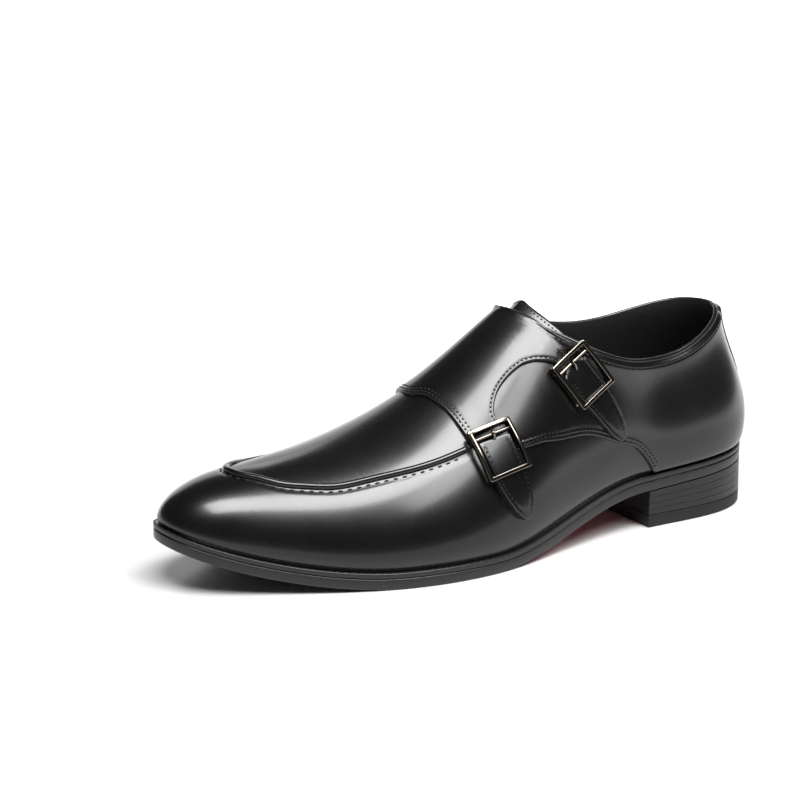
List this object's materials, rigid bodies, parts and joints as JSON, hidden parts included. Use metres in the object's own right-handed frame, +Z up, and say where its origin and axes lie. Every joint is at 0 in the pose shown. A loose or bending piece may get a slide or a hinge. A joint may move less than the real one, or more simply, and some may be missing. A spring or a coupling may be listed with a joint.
{
  "type": "monk strap shoe",
  "caption": "Left low leather shoe with an apron toe, a saddle panel that ends in two buckled straps on the outer side, an elastic gore inside and a stacked heel.",
  "frame": {"origin": "on the floor, under the middle of the shoe's box", "axes": "+Z up from the floor, +Y from toe to heel, +X to the outer (buckle) side of this left shoe"},
  "size_m": [0.1054, 0.3048, 0.1092],
  "materials": {
    "leather": "black polished calf, smooth",
    "sole": "black edge dressing over pressed leather, satin",
    "heel_rubber": "moulded black rubber, matte",
    "lining": "black lining leather, matte",
    "elastic": "woven black elastic, matte",
    "buckle_metal": "gunmetal plated, polished"
  },
  "bodies": {
    "root": {"outsole": "sole", "welt": "sole", "heel_stack": "sole", "heel_top_piece": "heel_rubber", "insole": "lining", "upper": "leather", "quarter_outer": "leather", "quarter_inner": "leather", "back_stay": "leather", "saddle": "leather", "apron_ridge": "leather", "tongue": "leather", "strap_front": "leather", "strap_rear": "leather", "gore": "elastic", "buckle_front_frame": "buckle_metal", "buckle_front_bar": "buckle_metal", "buckle_front_prong": "buckle_metal", "buckle_rear_frame": "buckle_metal", "buckle_rear_bar": "buckle_metal", "buckle_rear_prong": "buckle_metal"}
  },
  "joints": []
}
